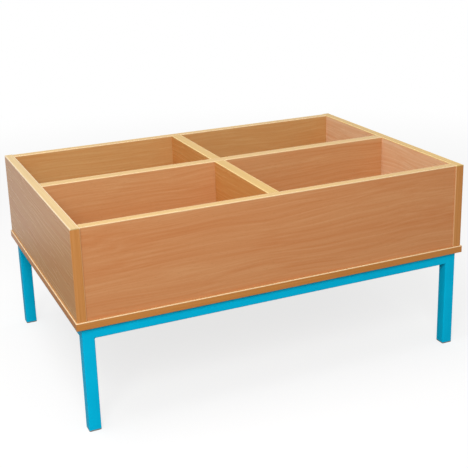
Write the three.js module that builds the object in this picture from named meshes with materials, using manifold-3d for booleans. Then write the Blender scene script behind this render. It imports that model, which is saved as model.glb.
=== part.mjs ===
// Picture book browser bin: a beech-faced tray of four compartments on a square-tube steel frame.
// Millimetres, +Z up, X across the width, front towards -Y, origin on the floor under the middle.

import * as THREE from 'three';
import { mergeVertices } from 'three/addons/utils/BufferGeometryUtils.js';
import Module from 'manifold-3d';

// Tray
const TRAY_WIDTH = 1000; // over the outer faces of the end panels
const TRAY_DEPTH = 675; // along an end panel, over its front and back bands
const WALL_HEIGHT = 213; // from the base board to the rim
const WALL_BOARD = 22; // thickness of the end, front and back panels
const BASE_BOARD = 18; // thickness of the base
const DIVIDER_BOARD = 28; // thickness of both dividers
const PANEL_RECESS = 3; // front and back panels behind the edges of the ends
const BASE_OVERHANG = 3; // base board beyond the walls, all round
const CROSS_CLEARANCE = 0.3; // each side of a divider in the other one's slot

// Edge bands
const BAND = 2; // thickness
const BAND_ROUND = 1.2; // radius along the two outer arrises

// Frame
const LEG_HEIGHT = 252; // from the floor to the underside of the base board
const TUBE = 28; // outer side of the square tube
const TUBE_WALL = 1.5;
const TUBE_ROUND = 2.5; // outer corner radius
const BORE_ROUND = 1; // inner corner radius
const FRAME_INSET_SIDE = 13; // frame inside the base board's end edges
const FRAME_INSET_FRONT = 9; // frame inside the base board's front and back edges

// Feet
const FOOT_FLANGE = 3; // thickness under the tube
const FOOT_PLUG = 20; // length inside the tube
const FOOT_WALL = 2; // wall of the hollow plug
const FOOT_CLEARANCE = 0.3; // between the plug and the tube

// Dowels
const DOWEL_DIAMETER = 8;
const DOWEL_LENGTH = 34;
const DOWEL_CHAMFER = 1;
const DOWEL_COVER = 7; // board left behind a dowel in the panel that it meets face on
const DOWEL_MARGIN = 50; // from the base board, and from the rim, to a dowel
const DOWEL_CLEARANCE = 0.3; // around a dowel and past its ends

// Screws
const SCREW_DIAMETER = 5;
const SCREW_TIP = 4; // length of the point
const SCREW_CLEARANCE = 0.3;
const HEAD_DIAMETER = 10;
const HEAD_HEIGHT = 3;
const HEAD_EDGE = 0.4; // upright rim of a countersunk head
const HEAD_CROWN = 7; // diameter of a pan head's flat
const HEAD_SINK = 0.6; // countersunk head above the base board's underside
const DRIVE_LENGTH = 5; // cross recess, over its arms
const DRIVE_WIDTH = 1.2; // width of an arm
const DRIVE_DEPTH = 1.5;
const WALL_BITE = 32; // length of a wall screw inside the wall
const WALL_SCREW_INSET = 200; // from the end of the tray to a wall screw
const RAIL_SCREW_INSET = 100; // from the end of the tray to a rail screw
const RAIL_SCREW_COVER = 5; // base board left above a rail screw

const ARC_STEPS = 2; // halves the number of flats in a rounded corner
const ROUND_STEPS = 12; // flats round a dowel or a screw

// Levels
const BASE_TOP = LEG_HEIGHT + BASE_BOARD;
const RIM = BASE_TOP + WALL_HEIGHT;
const BOARD_TOP = RIM - BAND;
const CROSS_Z = (BASE_TOP + BOARD_TOP) / 2;
const RAIL_Z = LEG_HEIGHT - TUBE / 2;

// Half plan sizes, from the middle
const BASE_X = TRAY_WIDTH / 2 + BASE_OVERHANG;
const BASE_Y = TRAY_DEPTH / 2 + BASE_OVERHANG;
const END_X = TRAY_WIDTH / 2 - WALL_BOARD / 2;
const INNER_X = TRAY_WIDTH / 2 - WALL_BOARD;
const PANEL_Y = TRAY_DEPTH / 2 - PANEL_RECESS - WALL_BOARD / 2;
const INNER_Y = PANEL_Y - WALL_BOARD / 2;
const DIVIDER_HALF = DIVIDER_BOARD / 2;
const SLOT_HALF = DIVIDER_HALF + CROSS_CLEARANCE;
const LEG_X = BASE_X - FRAME_INSET_SIDE - TUBE / 2;
const LEG_Y = BASE_Y - FRAME_INSET_FRONT - TUBE / 2;

// The dividers are set out from the tray's middle lines: the short one stands to the left of its
// line and the long one behind its line.
const CROSS_X = -DIVIDER_HALF;
const CROSS_Y = DIVIDER_HALF;

const SHANK_RADIUS = SCREW_DIAMETER / 2;
const HEAD_RADIUS = HEAD_DIAMETER / 2;
const BORE_SIDE = TUBE - 2 * TUBE_WALL;

const SIDES = [['left', -1], ['right', 1]];
const FACES = [['front', -1], ['back', 1]];

const BEECH_BOARD = { color: 0xc48a5b, roughness: 0.45, metalness: 0 };
const RIM_BAND = { color: 0xebcf95, roughness: 0.4, metalness: 0 };
const UPRIGHT_BAND = { color: 0xc48c48, roughness: 0.4, metalness: 0 };
const BASE_BAND = { color: 0xb87b42, roughness: 0.4, metalness: 0 };
const CYAN_COAT = { color: 0x00aed8, roughness: 0.35, metalness: 0 };
const FOOT_PLASTIC = { color: 0x77746d, roughness: 0.55, metalness: 0 };
const DOWEL_WOOD = { color: 0xd9b98a, roughness: 0.7, metalness: 0 };
const ZINC_STEEL = { color: 0xb8bcc0, roughness: 0.35, metalness: 1 };

const point = (x, y, z) => new THREE.Vector3(x, y, z);
const ACROSS = point(1, 0, 0);
const DEEP = point(0, 1, 0);
const UP = point(0, 0, 1);

const wasm = await Module();
wasm.setup();

const bin = new THREE.Group();
bin.name = 'picture_book_browser_bin';

function toSolid(geometry) {
  const bare = geometry.clone();
  bare.deleteAttribute('normal');
  bare.deleteAttribute('uv');
  const merged = mergeVertices(bare, 1e-4);
  return new wasm.Manifold(new wasm.Mesh({
    numProp: 3,
    vertProperties: new Float32Array(merged.attributes.position.array),
    triVerts: new Uint32Array(merged.index.array),
  }));
}

function toGeometry(solid) {
  const mesh = solid.getMesh();
  const indexed = new THREE.BufferGeometry();
  indexed.setAttribute('position', new THREE.BufferAttribute(mesh.vertProperties, 3));
  indexed.setIndex(new THREE.BufferAttribute(mesh.triVerts, 1));
  const faceted = indexed.toNonIndexed();
  faceted.computeVertexNormals();
  return faceted;
}

// Takes out of a piece, which stands at place, every tool that reaches it. Tools are in the bin's frame.
function cut(geometry, place, tools) {
  const back = place.clone().invert();
  geometry.computeBoundingBox();
  let solid = toSolid(geometry);
  for (const tool of tools) {
    const local = tool.clone().applyMatrix4(back);
    local.computeBoundingBox();
    if (local.boundingBox.intersectsBox(geometry.boundingBox)) {
      solid = solid.subtract(toSolid(local));
    }
  }
  return toGeometry(solid);
}

function addPiece(name, geometry, look, place, tools = []) {
  const mesh = new THREE.Mesh(cut(geometry, place, tools), new THREE.MeshStandardMaterial(look));
  mesh.name = name;
  mesh.applyMatrix4(place);
  bin.add(mesh);
}

const at = (x, y, z) => new THREE.Matrix4().makeTranslation(x, y, z);

// Stands a piece at a start point with its own y along out and its own z along along.
function laid(start, out, along) {
  const across = new THREE.Vector3().crossVectors(out, along);
  return new THREE.Matrix4().makeBasis(across, out, along).setPosition(start);
}

function block(low, high) {
  const box = new THREE.Box3(low, high);
  const middle = box.getCenter(new THREE.Vector3());
  return { shape: new THREE.BoxGeometry(...box.getSize(new THREE.Vector3())), middle };
}

function addBoard(name, low, high, tools) {
  const { shape, middle } = block(low, high);
  addPiece(name, shape, BEECH_BOARD, at(...middle), tools);
}

function extrude(section, length) {
  return new THREE.ExtrudeGeometry(section, {
    depth: length,
    bevelEnabled: false,
    curveSegments: ARC_STEPS,
  });
}

// A solid of revolution about Z. The profile lists radius and height upwards, from axis to axis.
function turned(profile) {
  const points = profile.map(([radius, z]) => new THREE.Vector2(radius, z));
  return new THREE.LatheGeometry(points, ROUND_STEPS).rotateX(Math.PI / 2);
}

// A band glued along a board's edge: flat towards the board, rounded along its outer arrises.
function bandStrip(board, length) {
  const half = board / 2;
  const round = Math.min(BAND_ROUND, BAND);
  const section = new THREE.Shape();
  section.moveTo(-half, 0);
  section.lineTo(half, 0);
  section.absarc(half - round, BAND - round, round, 0, Math.PI / 2);
  section.absarc(-half + round, BAND - round, round, Math.PI / 2, Math.PI);
  section.closePath();
  return extrude(section, length);
}

// From start to end along the middle of the board's edge, with out pointing away from the board.
function addBand(name, board, look, start, end, out) {
  const along = new THREE.Vector3().subVectors(end, start);
  const length = along.length();
  addPiece(name, bandStrip(board, length), look, laid(start, out, along.divideScalar(length)));
}

function addBase(bores) {
  const x = BASE_X - BAND;
  const y = BASE_Y - BAND;
  const z = LEG_HEIGHT + BASE_BOARD / 2;
  addBoard('base_board', point(-x, -y, LEG_HEIGHT), point(x, y, BASE_TOP), bores);
  for (const [face, sy] of FACES) {
    const start = point(-BASE_X, sy * y, z);
    const end = point(BASE_X, sy * y, z);
    addBand(`base_${face}_band`, BASE_BOARD, BASE_BAND, start, end, point(0, sy, 0));
  }
  for (const [side, sx] of SIDES) {
    const start = point(sx * x, -y, z);
    const end = point(sx * x, y, z);
    addBand(`base_${side}_band`, BASE_BOARD, BASE_BAND, start, end, point(sx, 0, 0));
  }
}

// The ends run the full depth. Their top bands lie over their front and back bands.
function addEnds(bores) {
  const half = WALL_BOARD / 2;
  const y = TRAY_DEPTH / 2 - BAND;
  for (const [side, sx] of SIDES) {
    const x = sx * END_X;
    const topStart = point(x, -TRAY_DEPTH / 2, BOARD_TOP);
    const topEnd = point(x, TRAY_DEPTH / 2, BOARD_TOP);
    addBoard(`${side}_end_panel`, point(x - half, -y, BASE_TOP), point(x + half, y, BOARD_TOP), bores);
    addBand(`${side}_end_top_band`, WALL_BOARD, RIM_BAND, topStart, topEnd, UP);
    for (const [face, sy] of FACES) {
      const start = point(x, sy * y, BASE_TOP);
      const end = point(x, sy * y, BOARD_TOP);
      addBand(`${side}_end_${face}_band`, WALL_BOARD, UPRIGHT_BAND, start, end, point(0, sy, 0));
    }
  }
}

// The front and back panels stand between the ends.
function addPanels(bores) {
  const half = WALL_BOARD / 2;
  for (const [face, sy] of FACES) {
    const y = sy * PANEL_Y;
    const start = point(-INNER_X, y, BOARD_TOP);
    const end = point(INNER_X, y, BOARD_TOP);
    const low = point(-INNER_X, y - half, BASE_TOP);
    addBoard(`${face}_panel`, low, point(INNER_X, y + half, BOARD_TOP), bores);
    addBand(`${face}_panel_top_band`, WALL_BOARD, RIM_BAND, start, end, UP);
  }
}

// The dividers are halved over each other: the long one is slotted from below, the short one from above.
function addDividers(bores) {
  const [left, right] = [CROSS_X - DIVIDER_HALF, CROSS_X + DIVIDER_HALF];
  const [near, far] = [CROSS_Y - DIVIDER_HALF, CROSS_Y + DIVIDER_HALF];
  const under = block(
    point(CROSS_X - SLOT_HALF, -INNER_Y, LEG_HEIGHT),
    point(CROSS_X + SLOT_HALF, INNER_Y, CROSS_Z),
  );
  const over = block(
    point(-INNER_X, CROSS_Y - SLOT_HALF, CROSS_Z),
    point(INNER_X, CROSS_Y + SLOT_HALF, RIM),
  );
  const longTools = [...bores, under.shape.translate(...under.middle)];
  const shortTools = [...bores, over.shape.translate(...over.middle)];
  addBoard('long_divider', point(-INNER_X, near, BASE_TOP), point(INNER_X, far, BOARD_TOP), longTools);
  addBoard('short_divider', point(left, -INNER_Y, BASE_TOP), point(right, INNER_Y, BOARD_TOP), shortTools);
  const start = point(-INNER_X, CROSS_Y, BOARD_TOP);
  const end = point(INNER_X, CROSS_Y, BOARD_TOP);
  addBand('long_divider_top_band', DIVIDER_BOARD, RIM_BAND, start, end, UP);
  for (const [face, sy] of FACES) {
    const crossing = point(CROSS_X, CROSS_Y + sy * DIVIDER_HALF, BOARD_TOP);
    const wall = point(CROSS_X, sy * INNER_Y, BOARD_TOP);
    addBand(`short_divider_${face}_top_band`, DIVIDER_BOARD, RIM_BAND, crossing, wall, UP);
  }
}

function roundedSquare(path, side, round) {
  const inner = side / 2 - round;
  path.absarc(inner, inner, round, 0, Math.PI / 2);
  path.absarc(-inner, inner, round, Math.PI / 2, Math.PI);
  path.absarc(-inner, -inner, round, Math.PI, 1.5 * Math.PI);
  path.absarc(inner, -inner, round, 1.5 * Math.PI, 2 * Math.PI);
  path.closePath();
  return path;
}

function tube(length) {
  const section = roundedSquare(new THREE.Shape(), TUBE, TUBE_ROUND);
  section.holes.push(roundedSquare(new THREE.Path(), BORE_SIDE, BORE_ROUND));
  return extrude(section, length);
}

// A flange under the tube's end with a hollow plug, open at its top, inside the tube.
function foot() {
  const plugSide = BORE_SIDE - 2 * FOOT_CLEARANCE;
  const hollowSide = plugSide - 2 * FOOT_WALL;
  const top = FOOT_FLANGE + FOOT_PLUG;
  const flange = extrude(roundedSquare(new THREE.Shape(), TUBE, TUBE_ROUND), FOOT_FLANGE);
  const plug = extrude(roundedSquare(new THREE.Shape(), plugSide, BORE_ROUND), top);
  const hollow = new THREE.BoxGeometry(hollowSide, hollowSide, 2 * FOOT_PLUG).translate(0, 0, top);
  return toGeometry(toSolid(flange).add(toSolid(plug)).subtract(toSolid(hollow)));
}

// Each rail butts between two legs, level with their tops and their outer faces.
function addFrame(railBores) {
  for (const [face, sy] of FACES) {
    for (const [side, sx] of SIDES) {
      const legPlace = at(sx * LEG_X, sy * LEG_Y, FOOT_FLANGE);
      addPiece(`${face}_${side}_leg`, tube(LEG_HEIGHT - FOOT_FLANGE), CYAN_COAT, legPlace);
      addPiece(`${face}_${side}_foot`, foot(), FOOT_PLASTIC, at(sx * LEG_X, sy * LEG_Y, 0));
    }
    const railStart = point(-LEG_X + TUBE / 2, sy * LEG_Y, RAIL_Z);
    addPiece(`${face}_rail`, tube(2 * LEG_X - TUBE), CYAN_COAT, laid(railStart, UP, ACROSS), railBores);
  }
  for (const [side, sx] of SIDES) {
    const railStart = point(sx * LEG_X, -LEG_Y + TUBE / 2, RAIL_Z);
    addPiece(`${side}_rail`, tube(2 * LEG_Y - TUBE), CYAN_COAT, laid(railStart, UP, DEEP));
  }
}

function dowelRod() {
  const radius = DOWEL_DIAMETER / 2;
  const half = DOWEL_LENGTH / 2;
  return turned([
    [0, -half],
    [radius - DOWEL_CHAMFER, -half],
    [radius, -half + DOWEL_CHAMFER],
    [radius, half - DOWEL_CHAMFER],
    [radius - DOWEL_CHAMFER, half],
    [0, half],
  ]);
}

const plainBore = (radius, low, high) => turned([[0, low], [radius, low], [radius, high], [0, high]]);

// A dowel across a joint. Inwards points from the joint into the board that it enters end on.
function dowel(name, joint, inwards) {
  const middle = joint.addScaledVector(inwards, DOWEL_LENGTH / 2 - WALL_BOARD + DOWEL_COVER);
  const reach = DOWEL_LENGTH / 2 + DOWEL_CLEARANCE;
  const bore = plainBore(DOWEL_DIAMETER / 2 + DOWEL_CLEARANCE, -reach, reach);
  return { name, body: dowelRod(), bore, look: DOWEL_WOOD, place: laid(middle, UP, inwards) };
}

function listDowels() {
  const dowels = [];
  for (const [level, z] of [['low', BASE_TOP + DOWEL_MARGIN], ['high', RIM - DOWEL_MARGIN]]) {
    for (const [side, sx] of SIDES) {
      const inwards = point(-sx, 0, 0);
      dowels.push(dowel(`long_divider_${side}_${level}_dowel`, point(sx * INNER_X, CROSS_Y, z), inwards));
      for (const [face, sy] of FACES) {
        const joint = point(sx * INNER_X, sy * PANEL_Y, z);
        dowels.push(dowel(`${face}_${side}_corner_${level}_dowel`, joint, inwards));
      }
    }
    for (const [face, sy] of FACES) {
      const joint = point(CROSS_X, sy * INNER_Y, z);
      dowels.push(dowel(`short_divider_${face}_${level}_dowel`, joint, point(0, -sy, 0)));
    }
  }
  return dowels;
}

// A screw that points up, with the outer face of its head at z = 0 and a cross recess in it.
function screw(head, length) {
  const arm = new THREE.BoxGeometry(DRIVE_LENGTH, DRIVE_WIDTH, 2 * DRIVE_DEPTH);
  const profile = [...head, [SHANK_RADIUS, length - SCREW_TIP], [0, length]];
  return cut(turned(profile), at(0, 0, 0), [arm, arm.clone().rotateZ(Math.PI / 2)]);
}

// A countersunk screw from under the base board into the front or back panel.
function wallScrew(name, x, y) {
  const z = LEG_HEIGHT + HEAD_SINK;
  const length = BASE_TOP + WALL_BITE - z;
  const head = [[0, 0], [HEAD_RADIUS, 0], [HEAD_RADIUS, HEAD_EDGE], [SHANK_RADIUS, HEAD_HEIGHT]];
  const bore = turned([
    [0, -2 * HEAD_SINK],
    [HEAD_RADIUS + SCREW_CLEARANCE, -2 * HEAD_SINK],
    [HEAD_RADIUS + SCREW_CLEARANCE, HEAD_EDGE],
    [SHANK_RADIUS + SCREW_CLEARANCE, HEAD_HEIGHT],
    [SHANK_RADIUS + SCREW_CLEARANCE, length + SCREW_CLEARANCE],
    [0, length + SCREW_CLEARANCE],
  ]);
  return { name, body: screw(head, length), bore, look: ZINC_STEEL, place: at(x, y, z) };
}

// A pan head screw from under a rail, through the tube, into the base board.
function railScrew(name, x, y) {
  const z = LEG_HEIGHT - TUBE - HEAD_HEIGHT;
  const length = BASE_TOP - RAIL_SCREW_COVER - z;
  const head = [
    [0, 0],
    [HEAD_CROWN / 2, 0],
    [HEAD_RADIUS, HEAD_HEIGHT / 2],
    [HEAD_RADIUS, HEAD_HEIGHT],
    [SHANK_RADIUS, HEAD_HEIGHT],
  ];
  const bore = plainBore(SHANK_RADIUS + SCREW_CLEARANCE, 0, length + SCREW_CLEARANCE);
  return { name, body: screw(head, length), bore, look: ZINC_STEEL, place: at(x, y, z) };
}

function listScrews(make, what, inset, y) {
  const x = TRAY_WIDTH / 2 - inset;
  const screws = [];
  for (const [face, sy] of FACES) {
    for (const [side, sx] of SIDES) {
      screws.push(make(`${face}_${side}_${what}_screw`, sx * x, sy * y));
    }
  }
  return screws;
}

const boresOf = (fixings) => fixings.map(({ bore, place }) => bore.clone().applyMatrix4(place));

const railScrews = listScrews(railScrew, 'rail', RAIL_SCREW_INSET, LEG_Y);
const wallScrews = listScrews(wallScrew, 'wall', WALL_SCREW_INSET, PANEL_Y);
const fixings = [...listDowels(), ...wallScrews, ...railScrews];
const boardBores = boresOf(fixings);

addBase(boardBores);
addEnds(boardBores);
addPanels(boardBores);
addDividers(boardBores);
addFrame(boresOf(railScrews));
for (const { name, body, look, place } of fixings) {
  addPiece(name, body, look, place);
}

export default bin;
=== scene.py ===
# Picture book browser bin: a beech-faced tray of four compartments on a cyan steel frame.
# Metres, +Z up, X across the width, front towards -Y, origin on the floor under the middle.

from math import pi, radians

import bmesh
import bpy
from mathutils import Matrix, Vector


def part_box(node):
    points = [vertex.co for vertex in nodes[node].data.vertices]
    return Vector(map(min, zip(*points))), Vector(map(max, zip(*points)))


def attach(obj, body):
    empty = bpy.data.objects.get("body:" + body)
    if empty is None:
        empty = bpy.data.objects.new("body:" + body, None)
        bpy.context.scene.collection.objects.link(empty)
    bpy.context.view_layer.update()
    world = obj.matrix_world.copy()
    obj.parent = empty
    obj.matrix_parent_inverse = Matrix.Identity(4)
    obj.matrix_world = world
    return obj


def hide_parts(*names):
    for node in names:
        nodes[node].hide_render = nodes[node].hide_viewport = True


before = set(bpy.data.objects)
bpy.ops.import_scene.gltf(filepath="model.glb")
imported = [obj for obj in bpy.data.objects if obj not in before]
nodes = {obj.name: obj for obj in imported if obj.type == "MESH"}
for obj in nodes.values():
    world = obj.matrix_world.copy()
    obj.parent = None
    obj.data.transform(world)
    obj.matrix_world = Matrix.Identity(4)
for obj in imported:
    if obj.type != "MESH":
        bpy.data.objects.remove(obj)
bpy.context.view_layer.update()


# Legs and rails: 28 mm square steel tube with a 1.5 mm wall and rolled corners, sawn square.
# The rails butt between the legs, are welded all round and ground flush outside, and then
# the whole frame is powder coated cyan.
MM = 0.001
TUBE_WALL = 1.5 * MM
TUBE_ROUND = 2.5 * MM
TUBE_ROUND_STEPS = 6
SMOOTH_BELOW = radians(40)
ALIGNED = 0.99  # the cosine from which an edge or a face counts as true to an axis
COAT_DEEP = "#00AED7"
COAT_BRIGHT = "#00BCE3"
COAT_CLOUD = 60 * MM
COAT_PEEL = 1.6 * MM
CORNERS = [(face, side) for face in ("front", "back") for side in ("left", "right")]


def linear(text):
    """The linear RGBA of an sRGB hex colour."""
    parts = [int(text[i:i + 2], 16) / 255 for i in (1, 3, 5)]
    return [c / 12.92 if c <= 0.04045 else ((c + 0.055) / 1.055) ** 2.4 for c in parts] + [1.0]


def node(tree, kind, inputs=(), **settings):
    """Adds a shader node with its settings. An input takes a value, or a socket to link from.
    A Mix node's inputs go by number: 0 is the share, 2 and 3 are numbers, 6 and 7 are colours."""
    made = tree.nodes.new(kind)
    for key, value in settings.items():
        setattr(made, key, value)
    for key, value in dict(inputs).items():
        if isinstance(value, bpy.types.NodeSocket):
            tree.links.new(value, made.inputs[key])
        else:
            made.inputs[key].default_value = value
    return made


def new_material(name):
    """A material with an empty node tree, and that tree."""
    made = bpy.data.materials.new(name)
    made.use_nodes = True
    tree = made.node_tree
    tree.nodes.clear()
    return made, tree


def paint(piece, material):
    """Gives the whole piece one material."""
    piece.data.materials.clear()
    piece.data.materials.append(material)


# Polyester powder coat, baked on: an even satin colour with a faint orange peel.
powder_coat, tree = new_material("cyan polyester powder coat")
place = node(tree, "ShaderNodeTexCoord").outputs["Object"]
cloud = node(tree, "ShaderNodeTexNoise", {"Vector": place, "Scale": 1 / COAT_CLOUD, "Detail": 2.0})
peel = node(tree, "ShaderNodeTexNoise", {"Vector": place, "Scale": 1 / COAT_PEEL, "Detail": 1.0})
tint = node(tree, "ShaderNodeMix", {
    0: cloud.outputs["Fac"], 6: linear(COAT_DEEP), 7: linear(COAT_BRIGHT),
}, data_type="RGBA")
rough = node(tree, "ShaderNodeMapRange", {
    "Value": cloud.outputs["Fac"], "To Min": 0.30, "To Max": 0.40,
})
bump = node(tree, "ShaderNodeBump", {
    "Strength": 0.25, "Distance": 0.05 * MM, "Height": peel.outputs["Fac"],
})
coat = node(tree, "ShaderNodeBsdfPrincipled", {
    "Base Color": tint.outputs[2],
    "Roughness": rough.outputs["Result"],
    "Normal": bump.outputs["Normal"],
    "IOR": 1.5,
    "Specular IOR Level": 0.06,
})
node(tree, "ShaderNodeOutputMaterial", {"Surface": coat.outputs["BSDF"]})


def pick(kind, test):
    """Selects, in edit mode, the edges or faces that pass the test, and nothing else."""
    bpy.ops.mesh.select_mode(type=kind)
    bpy.ops.mesh.select_all(action="DESELECT")
    shape = bmesh.from_edit_mesh(bpy.context.object.data)
    for part in shape.edges if kind == "EDGE" else shape.faces:
        part.select_set(test(part))
    shape.select_flush_mode()
    bmesh.update_edit_mesh(bpy.context.object.data)


def start_block(name, low, high):
    """A block between two corners, at the origin with its place in its mesh, left in edit mode."""
    bpy.ops.object.select_all(action="DESELECT")
    bpy.ops.mesh.primitive_cube_add(size=1, location=(low + high) / 2)
    block = bpy.context.object
    block.name = name
    block.scale = high - low
    bpy.ops.object.transform_apply(location=True, rotation=True, scale=True)
    bpy.ops.object.mode_set(mode="EDIT")
    return block


def runs_along(edge, axis):
    """Whether an edge is true to an axis."""
    way = edge.verts[1].co - edge.verts[0].co
    return abs(way[axis]) > ALIGNED * way.length


def square_tube(name, low, high, axis):
    """A rounded square tube along one axis, open at both ends."""
    tube = start_block(name, low, high)
    pick("FACE", lambda face: abs(face.normal[axis]) > ALIGNED)
    bpy.ops.mesh.delete(type="ONLY_FACE")
    pick("EDGE", lambda edge: runs_along(edge, axis))
    bpy.ops.mesh.bevel(offset=TUBE_ROUND, segments=TUBE_ROUND_STEPS, affect="EDGES")
    bpy.ops.object.mode_set(mode="OBJECT")
    wall = tube.modifiers.new("wall", "SOLIDIFY")
    wall.thickness = TUBE_WALL
    wall.offset = -1
    bpy.ops.object.modifier_apply(modifier=wall.name)
    bpy.ops.object.shade_smooth_by_angle(angle=SMOOTH_BELOW)
    paint(tube, powder_coat)
    return tube


def copy_to(piece, name, move):
    """A copy with its own mesh, moved in its mesh."""
    bpy.ops.object.select_all(action="DESELECT")
    piece.select_set(True)
    bpy.context.view_layer.objects.active = piece
    bpy.ops.object.duplicate()
    made = bpy.context.object
    made.name = name
    bpy.ops.transform.translate(value=move)
    bpy.ops.object.transform_apply(location=True, rotation=False, scale=False)
    return made


def fit_tube(tube, node_name):
    """Fixes a tube in the place of its CAD node."""
    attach(tube, "root")
    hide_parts(node_name)


leg_low, leg_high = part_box("front_left_leg")
first_leg = square_tube("front_left_leg_tube", leg_low, leg_high, axis=2)
fit_tube(first_leg, "front_left_leg")
for face, side in CORNERS[1:]:
    node_name = f"{face}_{side}_leg"
    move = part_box(node_name)[0] - leg_low
    fit_tube(copy_to(first_leg, f"{node_name}_tube", move), node_name)

# A rail's ends run on into the legs' rounded corners, as the ground weld does.
for first, second, axis in (("front_rail", "back_rail", 0), ("left_rail", "right_rail", 1)):
    low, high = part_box(first)
    low[axis] -= TUBE_ROUND
    high[axis] += TUBE_ROUND
    rail = square_tube(f"{first}_tube", low, high, axis)
    fit_tube(rail, first)
    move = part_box(second)[0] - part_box(first)[0]
    fit_tube(copy_to(rail, f"{second}_tube", move), second)


# Welds: one fillet bead of steel under each rail's end, laid in the corner against the leg in
# short overlapping runs, left as welded and coated over with the frame.
WELD_ROUND = 2.2 * MM
WELD_SIDES = 16
WELD_PITCH = 2 * MM
WELD_STEPS = 11
WELD_WAIST = 0.84
WELD_LENGTH = WELD_STEPS * WELD_PITCH
WELD_SMOOTH_BELOW = radians(60)


def weld_bead(name, start, along):
    """A bead from a disc, drawn out along X or Y in steps that swell and narrow by turns."""
    bpy.ops.object.select_all(action="DESELECT")
    bpy.ops.mesh.primitive_circle_add(
        radius=WELD_ROUND * WELD_WAIST,
        vertices=WELD_SIDES,
        fill_type="NGON",
        location=start,
        rotation=(0, pi / 2, 0) if along.x else (-pi / 2, 0, 0),
    )
    bead = bpy.context.object
    bead.name = name
    bpy.ops.object.transform_apply(location=True, rotation=True, scale=True)
    bpy.ops.object.mode_set(mode="EDIT")
    bpy.ops.mesh.select_all(action="SELECT")
    for step in range(WELD_STEPS):
        bpy.ops.mesh.extrude_region_move(TRANSFORM_OT_translate={"value": along * WELD_PITCH})
        swell = 1 / WELD_WAIST if step % 2 == 0 else WELD_WAIST
        bpy.ops.transform.resize(value=(swell, swell, swell))
    bpy.ops.mesh.select_all(action="SELECT")
    bpy.ops.mesh.normals_make_consistent(inside=False)
    bpy.ops.object.mode_set(mode="OBJECT")
    bpy.ops.object.shade_smooth_by_angle(angle=WELD_SMOOTH_BELOW)
    paint(bead, powder_coat)
    return bead


def fit_weld(bead):
    """Fixes a bead to the frame. It stands for no CAD node."""
    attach(bead, "root")


leg_middle = (leg_low + leg_high) / 2
rail_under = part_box("front_rail")[0].z
across_start = Vector((leg_high.x, leg_middle.y - WELD_LENGTH / 2, rail_under))
deep_start = Vector((leg_middle.x - WELD_LENGTH / 2, leg_high.y, rail_under))
first_across = weld_bead("front_left_across_weld", across_start, Vector((0, 1, 0)))
first_deep = weld_bead("front_left_deep_weld", deep_start, Vector((1, 0, 0)))
fit_weld(first_across)
fit_weld(first_deep)
for face, side in CORNERS[1:]:
    low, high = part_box(f"{face}_{side}_leg")
    inner_x = high.x if side == "left" else low.x
    inner_y = high.y if face == "front" else low.y
    to_across = Vector((inner_x - leg_high.x, low.y - leg_low.y, 0))
    to_deep = Vector((low.x - leg_low.x, inner_y - leg_high.y, 0))
    fit_weld(copy_to(first_across, f"{face}_{side}_across_weld", to_across))
    fit_weld(copy_to(first_deep, f"{face}_{side}_deep_weld", to_deep))


# Feet: injection moulded polyethylene inserts, hammered into the legs' ends. A flange as wide
# as the tube takes the floor, and a hollow plug holds it in the bore.
FOOT_FLANGE = 3 * MM
FOOT_EDGE_ROUND = 0.7 * MM
FOOT_EDGE_STEPS = 3
FOOT_PLUG_INSET = 1.8 * MM
FOOT_PLUG_WALL = 2 * MM
FLOOR_TOUCH = 0.1 * MM  # the height below which a corner counts as on the floor
FOOT_DARK = "#6E6862"
FOOT_SCUFFED = "#8F8881"
FOOT_GRIT = 0.8 * MM
FOOT_SCUFF = 9 * MM

# Polyethylene from a spark-eroded mould: a dull grey with a fine grit, paler where it is scuffed.
# The real grit is a few times finer, and is drawn coarser so that it shows.
foot_plastic, tree = new_material("grey moulded polyethylene")
place = node(tree, "ShaderNodeTexCoord").outputs["Object"]
grit = node(tree, "ShaderNodeTexNoise", {"Vector": place, "Scale": 1 / FOOT_GRIT, "Detail": 2.0})
scuff = node(tree, "ShaderNodeTexNoise", {"Vector": place, "Scale": 1 / FOOT_SCUFF, "Detail": 4.0})
tint = node(tree, "ShaderNodeMix", {
    0: scuff.outputs["Fac"], 6: linear(FOOT_DARK), 7: linear(FOOT_SCUFFED),
}, data_type="RGBA")
bump = node(tree, "ShaderNodeBump", {
    "Strength": 0.3, "Distance": 0.1 * MM, "Height": grit.outputs["Fac"],
})
moulding = node(tree, "ShaderNodeBsdfPrincipled", {
    "Base Color": tint.outputs[2],
    "Roughness": 0.55,
    "Normal": bump.outputs["Normal"],
})
node(tree, "ShaderNodeOutputMaterial", {"Surface": moulding.outputs["BSDF"]})

foot_low, foot_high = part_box("front_left_foot")
plug_rise = Vector((0, 0, foot_high.z - FOOT_FLANGE))
first_foot = start_block("front_left_foot_insert", foot_low, foot_high - plug_rise)
pick("EDGE", lambda edge: runs_along(edge, 2))
bpy.ops.mesh.bevel(offset=TUBE_ROUND, segments=TUBE_ROUND_STEPS, affect="EDGES")
pick("EDGE", lambda edge: all(vert.co.z < FLOOR_TOUCH for vert in edge.verts))
bpy.ops.mesh.bevel(offset=FOOT_EDGE_ROUND, segments=FOOT_EDGE_STEPS, affect="EDGES")
pick("FACE", lambda face: face.normal.z > ALIGNED)
bpy.ops.mesh.inset(thickness=FOOT_PLUG_INSET)
bpy.ops.mesh.extrude_region_move(TRANSFORM_OT_translate={"value": plug_rise})
bpy.ops.mesh.inset(thickness=FOOT_PLUG_WALL)
bpy.ops.mesh.extrude_region_move(TRANSFORM_OT_translate={"value": -plug_rise})
bpy.ops.object.mode_set(mode="OBJECT")
bpy.ops.object.shade_smooth_by_angle(angle=SMOOTH_BELOW)
paint(first_foot, foot_plastic)


def fit_foot(foot, node_name):
    """Fixes a foot in the place of its CAD node."""
    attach(foot, "root")
    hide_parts(node_name)


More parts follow.
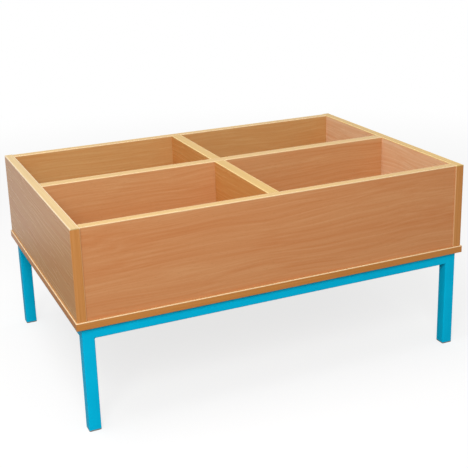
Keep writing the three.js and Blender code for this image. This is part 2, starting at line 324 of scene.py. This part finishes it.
fit_foot(first_foot, "front_left_foot")
for face, side in CORNERS[1:]:
    node_name = f"{face}_{side}_foot"
    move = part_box(node_name)[0] - foot_low
    fit_foot(copy_to(first_foot, f"{node_name}_insert", move), node_name)


# Boards: chipboard faced on both sides with a printed beech foil under melamine resin. Each is
# sawn from a sheet with the grain along its length, and joined to the next with dowels.
STREAK_LONG = 350 * MM
STREAK_WIDE = 5 * MM
STREAK_DARK = (0.940, 0.815, 0.710, 1.0)  # shares of the foil's tone
STREAK_LIGHT = (1.060, 1.185, 1.290, 1.0)
CLOUD_LONG = 900 * MM
CLOUD_WIDE = 50 * MM
CLOUD_SHARE = 0.33
RING_WIDE = 15 * MM
RING_SHARE = 0.12
WAVE_TURN = 20  # radians that a Wave node of scale 1 turns in a metre
FLECK_LONG = 9 * MM
FLECK_WIDE = 1.6 * MM
FLECK_BROWN = "#AF7244"
FLECK_SHARE = 0.22
FLECK_FROM, FLECK_FULL = 0.58, 0.72  # the noise levels where a fleck begins and is full
TONE_DARK, TONE_LIGHT = 0.29, 0.71  # the noise levels that are the darkest and the lightest
GRAIN_TILT = radians(1.2)
DRIFT_PER_METRE = (1.7, 5.0, 5.0)  # the grain wanders over some 600 mm along and 200 mm across
DRIFT_REACH = 70 * MM


def beech_foil(node_name, turn, slide, outer, inner):
    """Beech print under satin resin: long soft streaks, faint growth rings and short dark flecks.
    Real flecks are under a millimetre wide, and are drawn coarser here so that they show.
    A board changes from its outer to its inner foil half way through."""
    made, tree = new_material(f"beech melamine foil, {node_name}")
    place = node(tree, "ShaderNodeTexCoord").outputs["Object"]
    grain = node(tree, "ShaderNodeMapping", {
        "Vector": place, "Location": slide, "Rotation": (0.0, GRAIN_TILT, turn),
    }).outputs["Vector"]
    drift_place = node(tree, "ShaderNodeMapping", {"Vector": grain, "Scale": DRIFT_PER_METRE})
    drift = node(tree, "ShaderNodeTexNoise", {
        "Vector": drift_place.outputs["Vector"], "Scale": 1.0, "Detail": 2.0,
    })
    sway = node(tree, "ShaderNodeVectorMath", {
        0: drift.outputs["Color"], 1: (0.0, DRIFT_REACH, DRIFT_REACH),
    }, operation="MULTIPLY")
    swayed = node(tree, "ShaderNodeVectorMath", {
        0: grain, 1: sway.outputs["Vector"],
    }, operation="ADD").outputs["Vector"]
    prints = {}
    for name, long, wide, detail in (
        ("streaks", STREAK_LONG, STREAK_WIDE, 4.0),
        ("clouds", CLOUD_LONG, CLOUD_WIDE, 1.0),
        ("flecks", FLECK_LONG, FLECK_WIDE, 1.0),
    ):
        drawn_out = node(tree, "ShaderNodeMapping", {
            "Vector": swayed, "Scale": (1 / long, 1 / wide, 1 / wide),
        })
        prints[name] = node(tree, "ShaderNodeTexNoise", {
            "Vector": drawn_out.outputs["Vector"], "Scale": 1.0, "Detail": detail,
        }).outputs["Fac"]
    rings = node(tree, "ShaderNodeTexWave", {
        "Vector": swayed, "Scale": 2 * pi / (WAVE_TURN * RING_WIDE), "Distortion": 0.0,
    }, wave_type="RINGS", rings_direction="X", wave_profile="SAW")
    figure = node(tree, "ShaderNodeMix", {
        0: RING_SHARE, 2: prints["streaks"], 3: rings.outputs["Fac"],
    }, data_type="FLOAT")
    tone = node(tree, "ShaderNodeMix", {
        0: CLOUD_SHARE, 2: figure.outputs[0], 3: prints["clouds"],
    }, data_type="FLOAT")
    spread = node(tree, "ShaderNodeMapRange", {
        "Value": tone.outputs[0], "From Min": TONE_DARK, "From Max": TONE_LIGHT,
    })
    streaked = node(tree, "ShaderNodeMix", {
        0: spread.outputs["Result"], 6: STREAK_DARK, 7: STREAK_LIGHT,
    }, data_type="RGBA")
    # The walls stand on both sides of the origin, so their outer halves are the ones further off.
    low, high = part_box(node_name)
    thin = min(range(3), key=lambda axis: high[axis] - low[axis])
    half_way = abs(low[thin] + high[thin]) / 2
    depth = node(tree, "ShaderNodeSeparateXYZ", {"Vector": place}).outputs[thin]
    reach = node(tree, "ShaderNodeMath", {0: depth}, operation="ABSOLUTE")
    outside = node(tree, "ShaderNodeMath", {
        0: reach.outputs["Value"], 1: half_way,
    }, operation="GREATER_THAN")
    sheet = node(tree, "ShaderNodeMix", {
        0: outside.outputs["Value"], 6: linear(inner), 7: linear(outer),
    }, data_type="RGBA")
    toned = node(tree, "ShaderNodeMix", {
        0: 1.0, 6: sheet.outputs[2], 7: streaked.outputs[2],
    }, data_type="RGBA", blend_type="MULTIPLY")
    fleck_spots = node(tree, "ShaderNodeMapRange", {
        "Value": prints["flecks"],
        "From Min": FLECK_FROM,
        "From Max": FLECK_FULL,
        "To Min": 0.0,
        "To Max": FLECK_SHARE,
    }).outputs["Result"]
    flecked = node(tree, "ShaderNodeMix", {
        0: fleck_spots, 6: toned.outputs[2], 7: linear(FLECK_BROWN),
    }, data_type="RGBA")
    rough = node(tree, "ShaderNodeMapRange", {
        "Value": prints["streaks"], "To Min": 0.25, "To Max": 0.29,
    })
    bump = node(tree, "ShaderNodeBump", {
        "Strength": 0.06, "Distance": 0.05 * MM, "Height": fleck_spots,
    }, invert=True)
    foil = node(tree, "ShaderNodeBsdfPrincipled", {
        "Base Color": flecked.outputs[2],
        "Roughness": rough.outputs["Result"],
        "Normal": bump.outputs["Normal"],
        "IOR": 1.5,
        "Specular IOR Level": 0.05,
    })
    node(tree, "ShaderNodeOutputMaterial", {"Surface": foil.outputs["BSDF"]})
    return made


# The tone differs a little from sheet to sheet. Inside, the ends' sheets are the palest; the right
# end's inner face is painted paler still, a painted reflection of white light falling on it.
ACROSS, DEEP = 0, -pi / 2  # the way the grain runs
OUTER_TONE, INNER_TONE, END_TONE = "#C88858", "#C0905A", "#C58F58"
LONG_TONE, SHORT_TONE = "#C68F5F", "#C4894C"
# The right end's inner tone is painted paler, a painted reflection of white light on that face.
LEFT_INNER_TONE, RIGHT_INNER_TONE_AND_REFLECTION = "#C9996C", "#D4A881"
for node_name, turn, slide, outer, inner in (
    ("base_board", ACROSS, (0.31, 0.47, 0.05), INNER_TONE, INNER_TONE),
    ("front_panel", ACROSS, (1.7, 0.36, -0.02), OUTER_TONE, INNER_TONE),
    ("back_panel", ACROSS, (4.1, -0.27, -0.72), OUTER_TONE, INNER_TONE),
    ("long_divider", ACROSS, (6.3, 0.06, -0.06), LONG_TONE, LONG_TONE),
    ("left_end_panel", DEEP, (8.2, 0.54, -0.80), END_TONE, LEFT_INNER_TONE),
    ("right_end_panel", DEEP, (9.6, -0.45, -0.08), END_TONE, RIGHT_INNER_TONE_AND_REFLECTION),
    ("short_divider", DEEP, (11.4, 0.05, -0.76), SHORT_TONE, SHORT_TONE),
):
    paint(nodes[node_name], beech_foil(node_name, turn, slide, outer, inner))


# Edge bands: 2 mm extruded ABS strip with a printed grain along it, hot glued to the sawn edges
# and routed to a small radius. The rim's strips are painted paler than the uprights and the base's,
# as painted light for the strong light that falls on top.
BAND_LINE_LONG = 400 * MM
BAND_LINE_WIDE = 2.2 * MM
LINE_DARK, LINE_LIGHT = 0.3, 0.7  # the noise levels that are the darkest and the lightest
HIGHLIGHT_FADE = 0.45  # the share of the pale edge line, from the edge in, that is at its palest
HIGH_EDGE, LOW_EDGE, BOTH_EDGES = 1, -1, 0


def edge_band(node_name, finish, dark, light, core_and_highlight, highlight_wide, highlight_share, highlight_side):
    """Band print: fine lines along the strip, and along one edge or both a paler line: partly the
    plain inner plastic where the router has cut in, and partly a painted highlight that the rounded
    edge catches. The real lines are finer, and are drawn wide enough to show."""
    low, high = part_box(node_name)
    size, middle = high - low, (low + high) / 2
    across, along = sorted(range(3), key=lambda axis: size[axis])[1:]
    made, tree = new_material(f"{finish}, {node_name}")
    place = node(tree, "ShaderNodeTexCoord").outputs["Object"]
    scale = [1 / BAND_LINE_WIDE] * 3
    scale[along] = 1 / BAND_LINE_LONG
    strip = node(tree, "ShaderNodeMapping", {"Vector": place, "Scale": scale})
    lines = node(tree, "ShaderNodeTexNoise", {
        "Vector": strip.outputs["Vector"], "Scale": 1.0, "Detail": 3.0, "Roughness": 0.6,
    })
    spread = node(tree, "ShaderNodeMapRange", {
        "Value": lines.outputs["Fac"], "From Min": LINE_DARK, "From Max": LINE_LIGHT,
    })
    printed = node(tree, "ShaderNodeMix", {
        0: spread.outputs["Result"], 6: linear(dark), 7: linear(light),
    }, data_type="RGBA")
    spot = node(tree, "ShaderNodeSeparateXYZ", {"Vector": place}).outputs[across]
    reach = node(tree, "ShaderNodeMath", {0: spot, 1: middle[across]}, operation="SUBTRACT")
    if highlight_side == BOTH_EDGES:
        reach = node(tree, "ShaderNodeMath", {0: reach.outputs["Value"]}, operation="ABSOLUTE")
    else:
        reach = node(tree, "ShaderNodeMath", {
            0: reach.outputs["Value"], 1: highlight_side,
        }, operation="MULTIPLY")
    half = size[across] / 2
    # Painted highlight: the pale line along the edge is the band's plain plastic, painted wider as
    # the highlight that the rounded edge catches.
    core_and_highlight_share = node(tree, "ShaderNodeMapRange", {
        "Value": reach.outputs["Value"],
        "From Min": half - highlight_wide,
        "From Max": half - HIGHLIGHT_FADE * highlight_wide,
        "To Min": 0.0,
        "To Max": highlight_share,
    }, interpolation_type="SMOOTHSTEP")
    tint = node(tree, "ShaderNodeMix", {
        0: core_and_highlight_share.outputs["Result"], 6: printed.outputs[2], 7: linear(core_and_highlight),
    }, data_type="RGBA")
    rough = node(tree, "ShaderNodeMapRange", {
        "Value": lines.outputs["Fac"], "To Min": 0.32, "To Max": 0.40,
    })
    band = node(tree, "ShaderNodeBsdfPrincipled", {
        "Base Color": tint.outputs[2],
        "Roughness": rough.outputs["Result"],
        "IOR": 1.5,
        "Specular IOR Level": 0.3,
    })
    node(tree, "ShaderNodeOutputMaterial", {"Surface": band.outputs["BSDF"]})
    paint(nodes[node_name], made)


# The rim's strips are lit and shaded copies of one band, as painted light: palest and creamiest on
# the left end, where most light falls, straw on the middle boards, and darkest and most honey on the
# right.
# The rim strips' pale edge lines are plain plastic widened by a painted highlight.
RIM_CORE_AND_HIGHLIGHT = (3.0 * MM, 0.75, BOTH_EDGES)
for dark, light, core_and_highlight, boards in (
    ("#B79861", "#CCAF78", "#E2CCAA", ("left_end",)),
    ("#B79355", "#CDA969", "#E2C59B", ("front_panel", "back_panel", "long_divider")),
    ("#B79149", "#CCA75B", "#E2C387", ("right_end", "short_divider_front", "short_divider_back")),
):
    for board in boards:
        edge_band(f"{board}_top_band", "pale beech ABS band", dark, light, core_and_highlight, *RIM_CORE_AND_HIGHLIGHT)

# An end's upright strips show their pale line, plain plastic and painted highlight, towards the
# tray, and the base's show it on top.
UPRIGHT_PRINT_AND_HIGHLIGHT = ("golden beech ABS band", "#B67634", "#CB8B4E", "#DDB588", 1.6 * MM, 0.6)
for face, side in CORNERS:
    tray_edge = HIGH_EDGE if side == "left" else LOW_EDGE
    edge_band(f"{side}_end_{face}_band", *UPRIGHT_PRINT_AND_HIGHLIGHT, tray_edge)
BASE_PRINT_AND_HIGHLIGHT = ("beech ABS band", "#B57230", "#C48341", "#EBCFA4", 2.5 * MM, 0.9)
for side in ("front", "back", "left", "right"):
    edge_band(f"base_{side}_band", *BASE_PRINT_AND_HIGHLIGHT, HIGH_EDGE)


# Dowels: 8 mm turned beech with chamfered ends, glued into the box's corners and the dividers'
# ends, where they are out of sight.
DOWEL_DARK = "#C9A676"
DOWEL_LIGHT = "#E2C69A"
DOWEL_SPECK = 2 * MM

# Bare beech, turned and not sanded: dry and pale, with small specks.
dowel_wood, tree = new_material("plain turned beech")
place = node(tree, "ShaderNodeTexCoord").outputs["Object"]
speck = node(tree, "ShaderNodeTexNoise", {"Vector": place, "Scale": 1 / DOWEL_SPECK, "Detail": 3.0})
tint = node(tree, "ShaderNodeMix", {
    0: speck.outputs["Fac"], 6: linear(DOWEL_DARK), 7: linear(DOWEL_LIGHT),
}, data_type="RGBA")
wood = node(tree, "ShaderNodeBsdfPrincipled", {"Base Color": tint.outputs[2], "Roughness": 0.7})
node(tree, "ShaderNodeOutputMaterial", {"Surface": wood.outputs["BSDF"]})
for node_name in nodes:
    if node_name.endswith("_dowel"):
        paint(nodes[node_name], dowel_wood)


# Screws: 5 mm steel chipboard screws, driven up through the base board into the walls and up
# through the front and back rails into the base board.
ZINC_DARK = "#A9AEB4"
ZINC_LIGHT = "#C9CDD2"
ZINC_HAZE = 1.5 * MM

# Bright zinc plate: a bluish grey metal with a slight haze from the barrel that it was plated in.
zinc, tree = new_material("bright zinc plate on steel")
place = node(tree, "ShaderNodeTexCoord").outputs["Object"]
haze = node(tree, "ShaderNodeTexNoise", {"Vector": place, "Scale": 1 / ZINC_HAZE, "Detail": 3.0})
tint = node(tree, "ShaderNodeMix", {
    0: haze.outputs["Fac"], 6: linear(ZINC_DARK), 7: linear(ZINC_LIGHT),
}, data_type="RGBA")
rough = node(tree, "ShaderNodeMapRange", {
    "Value": haze.outputs["Fac"], "To Min": 0.25, "To Max": 0.42,
})
plate = node(tree, "ShaderNodeBsdfPrincipled", {
    "Base Color": tint.outputs[2],
    "Roughness": rough.outputs["Result"],
    "Metallic": 1.0,
})
node(tree, "ShaderNodeOutputMaterial", {"Surface": plate.outputs["BSDF"]})
for node_name in nodes:
    if node_name.endswith("_screw"):
        paint(nodes[node_name], zinc)


# Studio: a pale floor that runs out to white, fairly strong even light from all round, three
# softboxes (above the bin, high on its left, and in front on the left), and the photograph's camera.
AMBIENT = 0.48
OVERHEAD_WATTS = 6
LEFT_WATTS = 19
FRONT_WATTS = 100
WHITE = (1, 1, 1, 1)
FLOOR_SIDE = 60
FLOOR_SEEN = "#EEEEEE"
FLOOR_BOUNCE = "#909090"
SHADOW_NEAR = 1.3
SHADOW_FAR = 3.0
SHADOW_WHITE = 0.75  # how white the floor already is beside the bin
MIRROR_NEAR = 0.9
MIRROR_FAR = 1.4

bpy.ops.object.select_all(action="DESELECT")
bpy.ops.mesh.primitive_plane_add(size=FLOOR_SIDE)
floor = bpy.context.object
floor.name = "studio_floor"
# Matt white paper: to the camera and in reflections it runs out to pure white away from the bin,
# and close to the bin it keeps the soft shadow.
floor_paint, tree = new_material("matt white paper floor")
path = node(tree, "ShaderNodeLightPath")
place = node(tree, "ShaderNodeTexCoord").outputs["Object"]
reach = node(tree, "ShaderNodeVectorMath", {0: place}, operation="LENGTH")
seen_white = node(tree, "ShaderNodeMapRange", {
    "Value": reach.outputs["Value"],
    "From Min": SHADOW_NEAR,
    "From Max": SHADOW_FAR,
    "To Min": SHADOW_WHITE,
    "To Max": 1.0,
}, interpolation_type="SMOOTHSTEP")
mirrored_white = node(tree, "ShaderNodeMapRange", {
    "Value": reach.outputs["Value"],
    "From Min": MIRROR_NEAR,
    "From Max": MIRROR_FAR,
    "To Min": 0.0,
    "To Max": 1.0,
}, interpolation_type="SMOOTHSTEP")
mirrored = node(tree, "ShaderNodeMath", {
    0: path.outputs["Is Glossy Ray"], 1: path.outputs["Is Transmission Ray"],
}, operation="MAXIMUM")
seen_share = node(tree, "ShaderNodeMath", {
    0: path.outputs["Is Camera Ray"], 1: seen_white.outputs["Result"],
}, operation="MULTIPLY")
mirrored_share = node(tree, "ShaderNodeMath", {
    0: mirrored.outputs["Value"], 1: mirrored_white.outputs["Result"],
}, operation="MULTIPLY")
share = node(tree, "ShaderNodeMath", {
    0: seen_share.outputs["Value"], 1: mirrored_share.outputs["Value"],
}, operation="MAXIMUM")
pale = node(tree, "ShaderNodeMix", {
    0: path.outputs["Is Camera Ray"], 6: linear(FLOOR_BOUNCE), 7: linear(FLOOR_SEEN),
}, data_type="RGBA")
matt = node(tree, "ShaderNodeBsdfDiffuse", {"Color": pale.outputs[2]})
white = node(tree, "ShaderNodeEmission", {"Color": WHITE, "Strength": 1.0})
paper = node(tree, "ShaderNodeMixShader", {
    0: share.outputs["Value"], 1: matt.outputs["BSDF"], 2: white.outputs["Emission"],
})
node(tree, "ShaderNodeOutputMaterial", {"Surface": paper.outputs["Shader"]})
paint(floor, floor_paint)

# To the camera and in reflections the surroundings are white, and they light the bin more softly.
scene = bpy.context.scene
scene.view_settings.view_transform = "Standard"
world = bpy.data.worlds.new("white studio")
scene.world = world
world.use_nodes = True
tree = world.node_tree
tree.nodes.clear()
path = node(tree, "ShaderNodeLightPath")
mirrored = node(tree, "ShaderNodeMath", {
    0: path.outputs["Is Glossy Ray"], 1: path.outputs["Is Transmission Ray"],
}, operation="MAXIMUM")
seen = node(tree, "ShaderNodeMath", {
    0: path.outputs["Is Camera Ray"], 1: mirrored.outputs["Value"],
}, operation="MAXIMUM")
strength = node(tree, "ShaderNodeMapRange", {
    "Value": seen.outputs["Value"], "To Min": AMBIENT, "To Max": 1.0,
})
sky = node(tree, "ShaderNodeBackground", {"Color": WHITE, "Strength": strength.outputs["Result"]})
node(tree, "ShaderNodeOutputWorld", {"Surface": sky.outputs["Background"]})


def softbox(name, place, aim, wide, high, watts):
    """A rectangular area lamp that points at a spot and is not itself in the picture."""
    data = bpy.data.lights.new(name, "AREA")
    data.shape = "RECTANGLE"
    data.size = wide
    data.size_y = high
    data.energy = watts
    lamp = bpy.data.objects.new(name, data)
    scene.collection.objects.link(lamp)
    lamp.location = place
    lamp.rotation_euler = (Vector(aim) - lamp.location).to_track_quat("-Z", "Y").to_euler()
    lamp.visible_camera = False


softbox("overhead softbox", (-0.1, 0.0, 1.9), (-0.1, 0.0, 0), 1.6, 1.2, OVERHEAD_WATTS)
softbox("left softbox", (-0.9, -0.2, 2.3), (0, 0, 0.4), 1.2, 1.2, LEFT_WATTS)
softbox("front left softbox", (-1.5, -2.8, 2.6), (0, 0, 0.35), 1.8, 1.8, FRONT_WATTS)

# The camera's place, turn, lens and shift come from a fit to the bin's straight edges.
camera_data = bpy.data.cameras.new("photo camera")
camera_data.sensor_width = 36
camera_data.lens = 73.036
camera_data.shift_y = -0.1026
camera = bpy.data.objects.new("photo camera", camera_data)
scene.collection.objects.link(camera)
camera.location = (-0.93630, -2.17673, 1.13652)
camera.rotation_euler = (radians(72.9885), radians(1.5205), radians(-24.2816))
scene.camera = camera
